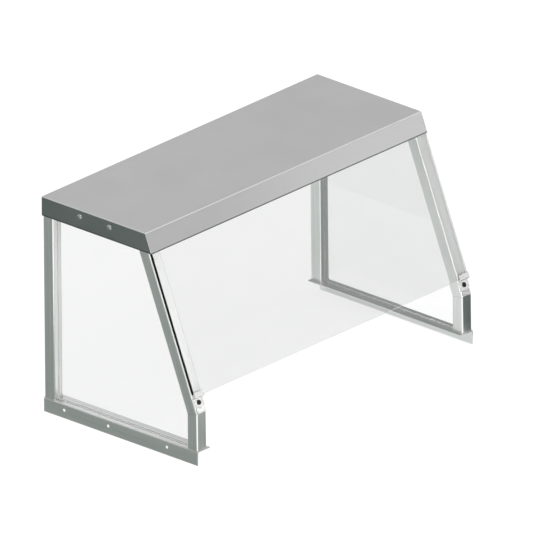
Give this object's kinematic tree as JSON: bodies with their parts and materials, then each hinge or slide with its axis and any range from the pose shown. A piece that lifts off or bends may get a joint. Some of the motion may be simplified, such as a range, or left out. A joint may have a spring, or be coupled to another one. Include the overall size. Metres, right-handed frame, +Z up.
{
  "type": "sneeze guard",
  "caption": "Countertop sneeze guard: folded steel canopy on two slope-fronted square-tube end frames with glass ends and a lift-out sloped front glass.",
  "frame": {"origin": "middle of the footprint, at the lower edges of the two hanging base legs", "axes": "+X along the length, -Y towards the customer, +Z up"},
  "size_m": [1.1368, 0.5774, 0.648],
  "materials": {
    "canopy_stainless": "fine satin, brushed along the length",
    "frame_stainless": "satin, brushed along each tube",
    "base_stainless": "satin, brushed along the angle",
    "clip_stainless": "bright satin",
    "bolt_stainless": "turned, bright",
    "dark_screw_steel": "black oxide, slightly worn",
    "zinc_steel": "zinc plated",
    "front_glass": "clear tempered, polished dark edges",
    "end_glass": "clear tempered",
    "clear_vinyl": "soft translucent vinyl"
  },
  "bodies": {
    "guard": {"canopy": "canopy_stainless", "base_angle_left": "base_stainless", "rear_post_left": "frame_stainless", "top_rail_left": "frame_stainless", "sloped_arm_left": "frame_stainless", "front_post_left": "frame_stainless", "end_glass_left": "end_glass", "sill_strip_left": "clear_vinyl", "canopy_bolt_left_rear": "bolt_stainless", "rail_nut_left_rear": "zinc_steel", "canopy_bolt_left_front": "bolt_stainless", "rail_nut_left_front": "zinc_steel", "glass_clip_left": "clip_stainless", "clip_screw_left": "dark_screw_steel", "arm_nut_left": "zinc_steel", "glass_cushion_left": "clear_vinyl", "base_angle_right": "base_stainless", "rear_post_right": "frame_stainless", "top_rail_right": "frame_stainless", "sloped_arm_right": "frame_stainless", "front_post_right": "frame_stainless", "end_glass_right": "end_glass", "sill_strip_right": "clear_vinyl", "canopy_bolt_right_rear": "bolt_stainless", "rail_nut_right_rear": "zinc_steel", "canopy_bolt_right_front": "bolt_stainless", "rail_nut_right_front": "zinc_steel", "glass_clip_right": "clip_stainless", "clip_screw_right": "dark_screw_steel", "arm_nut_right": "zinc_steel", "glass_cushion_right": "clear_vinyl"},
    "front_glass": {"front_glass": "front_glass"}
  },
  "joints": [
    {"name": "front_glass_lift", "type": "slide", "parent": "guard", "child": "front_glass", "axis": [0, 0.3714, 0.9285], "range_m": [0, 0.018]}
  ]
}
